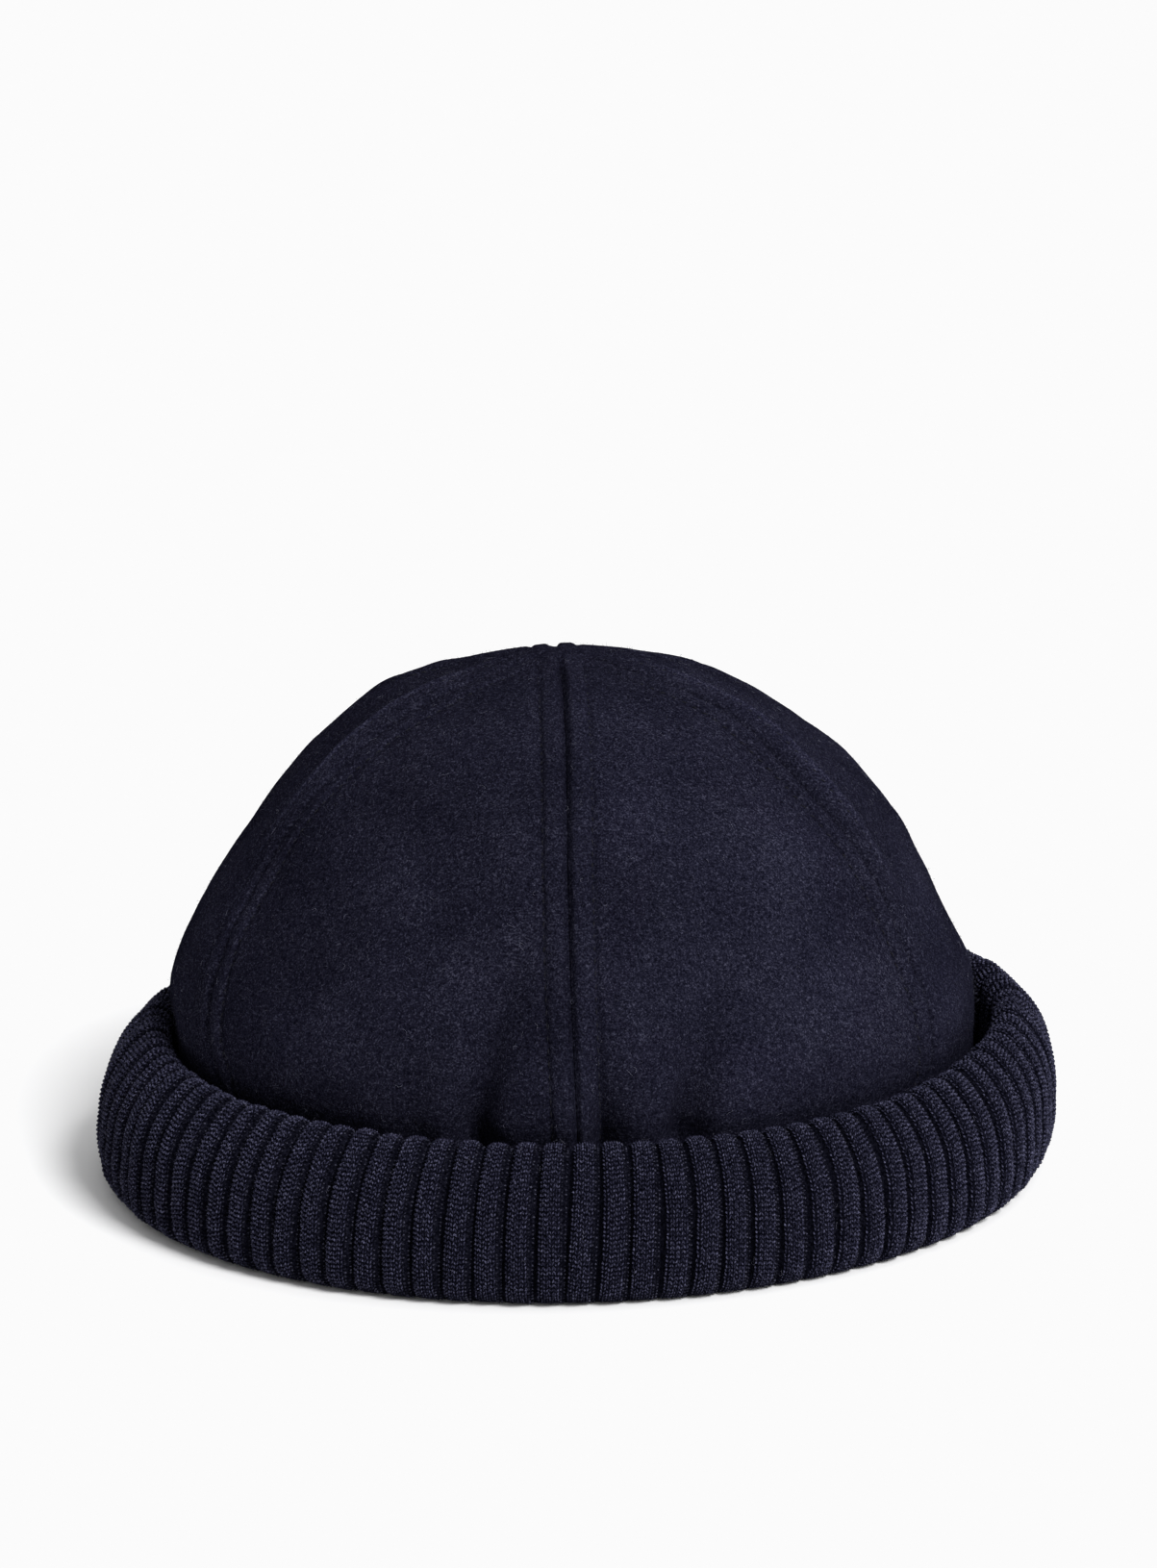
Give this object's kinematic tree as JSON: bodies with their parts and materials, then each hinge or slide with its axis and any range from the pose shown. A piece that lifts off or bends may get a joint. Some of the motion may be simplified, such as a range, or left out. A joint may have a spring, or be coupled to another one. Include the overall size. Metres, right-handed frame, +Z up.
{
  "type": "fisherman beanie",
  "caption": "Brimless rolled-cuff cap: round crown of sewn felted-wool gores over a thick rib-knit cuff turned up and rolled at its edge. Hollow and open below for a head.",
  "frame": {"origin": "middle of the cuff's foot, on the surface that the cap stands on", "axes": "+Z up through the crown's apex, -Y towards the front seam, +X to the wearer's left"},
  "size_m": [0.2298, 0.2323, 0.1255],
  "materials": {
    "wool_felt": "matt brushed nap, dark navy",
    "rib_knit": "matt plied wool yarn in a wide rib, dark navy"
  },
  "bodies": {
    "root": {"crown_panel_1": "wool_felt", "crown_panel_2": "wool_felt", "crown_panel_3": "wool_felt", "crown_panel_4": "wool_felt", "crown_panel_5": "wool_felt", "crown_panel_6": "wool_felt", "rib_cuff": "rib_knit"}
  },
  "joints": []
}
